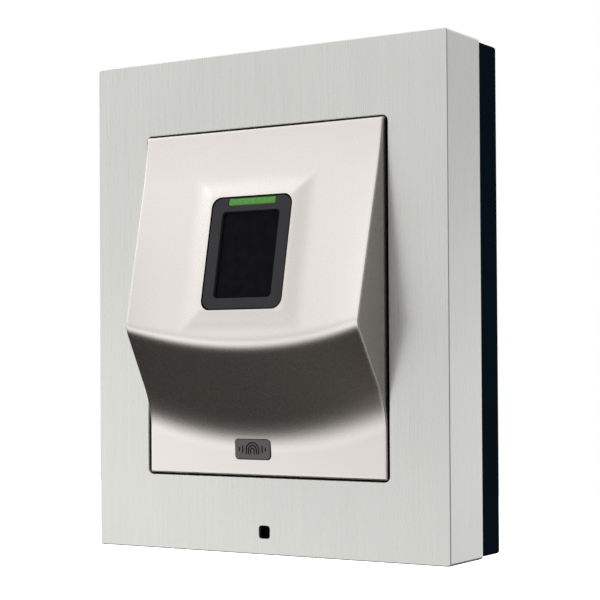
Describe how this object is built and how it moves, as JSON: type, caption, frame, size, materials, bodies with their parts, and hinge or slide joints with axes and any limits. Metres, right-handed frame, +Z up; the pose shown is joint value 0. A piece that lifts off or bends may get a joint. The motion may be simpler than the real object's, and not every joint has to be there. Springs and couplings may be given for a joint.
{
  "type": "fingerprint scanner terminal",
  "caption": "Wall-mounted door access terminal: brushed metal frame over a black wall box, with a sloped hooded cover that carries a fingerprint scanner window and a status light.",
  "frame": {"origin": "centre of the flat back of the wall box, on the plane that meets the wall", "axes": "+Z up, +X to the right for a person who faces the terminal, +Y into the wall; the front faces -Y"},
  "size_m": [0.107, 0.04, 0.13],
  "materials": {
    "brushed_metal": "fine vertical brush, satin",
    "cover_plastic": "warm silver paint on moulded plastic, satin",
    "black_plastic": "moulded, fine texture",
    "grey_plastic": "moulded, fine texture",
    "dark_glass": "near-black polished window",
    "green_light": "translucent green light guide",
    "badge_metal": "satin grey with dark engraving",
    "rubber": "matt black",
    "circuit_board": "green solder mask",
    "component": "moulded electronic package",
    "terminal_plastic": "green moulded terminal",
    "steel": "plated screw steel",
    "ribbon": "flat flexible cable, pale",
    "white_plastic": "ivory moulded plastic"
  },
  "bodies": {
    "housing": {"wall_box": "black_plastic", "cable_grommet": "rubber", "module_chassis": "black_plastic", "module_screw_1": "steel", "module_screw_2": "steel", "module_screw_3": "steel", "module_screw_4": "steel", "cover_screw_1": "steel", "cover_screw_2": "steel", "cover_screw_3": "steel", "cover_screw_4": "steel", "front_cover": "cover_plastic", "badge": "badge_metal", "cover_gasket": "rubber", "sensor_bezel": "grey_plastic", "sensor_window": "dark_glass", "sensor_module": "component", "light_guide": "green_light", "status_lamp": "white_plastic", "sensor_board": "circuit_board", "sensor_ribbon_socket": "white_plastic", "main_board": "circuit_board", "processor_chip": "component", "memory_chip": "component", "board_ribbon_socket": "white_plastic", "sounder": "component", "ribbon_cable": "ribbon", "terminal_header": "terminal_plastic", "terminal_plug": "terminal_plastic", "service_board": "circuit_board", "reset_switch": "component", "tamper_switch": "component"},
    "frame": {"front_frame": "brushed_metal", "port_plug": "black_plastic"},
    "lock_washer_left": {"lock_washer_left": "steel"},
    "lock_washer_right": {"lock_washer_right": "steel"},
    "lock_screw_left": {"lock_screw_left": "steel"},
    "lock_screw_right": {"lock_screw_right": "steel"},
    "reset_button": {"reset_button": "white_plastic"},
    "tamper_plunger": {"tamper_plunger": "white_plastic"}
  },
  "joints": [
    {"name": "frame_swing", "type": "hinge", "parent": "housing", "child": "frame", "pos_m": [0, -0.0103, 0.065], "axis": [-1, 0, 0], "range_deg": [0, 30]},
    {"name": "lock_screw_left_travel", "type": "slide", "parent": "housing", "child": "lock_washer_left", "axis": [0, 0, -1], "range_m": [0, 0.002]},
    {"name": "lock_screw_left_turn", "type": "hinge", "parent": "lock_washer_left", "child": "lock_screw_left", "pos_m": [-0.03, -0.0145, -0.064], "axis": [0, 0, -1], "range_deg": [0, 1440]},
    {"name": "lock_screw_right_travel", "type": "slide", "parent": "housing", "child": "lock_washer_right", "axis": [0, 0, -1], "range_m": [0, 0.002]},
    {"name": "lock_screw_right_turn", "type": "hinge", "parent": "lock_washer_right", "child": "lock_screw_right", "pos_m": [0.03, -0.0145, -0.064], "axis": [0, 0, -1], "range_deg": [0, 1440]},
    {"name": "reset_button_press", "type": "slide", "parent": "housing", "child": "reset_button", "axis": [0, 1, 0], "range_m": [0, 0.0003], "stiffness_N_per_m": 1200},
    {"name": "tamper_plunger_travel", "type": "slide", "parent": "housing", "child": "tamper_plunger", "axis": [0, -1, 0], "range_m": [0, 0.0012]}
  ],
  "couplings": [
    {"joint": "lock_screw_left_turn", "follows": "lock_screw_left_travel", "rad_per_m": 12566},
    {"joint": "lock_screw_right_turn", "follows": "lock_screw_right_travel", "rad_per_m": 12566},
    {"joint": "tamper_plunger_travel", "follows": "frame_swing", "m_per_rad": 0.00229}
  ]
}
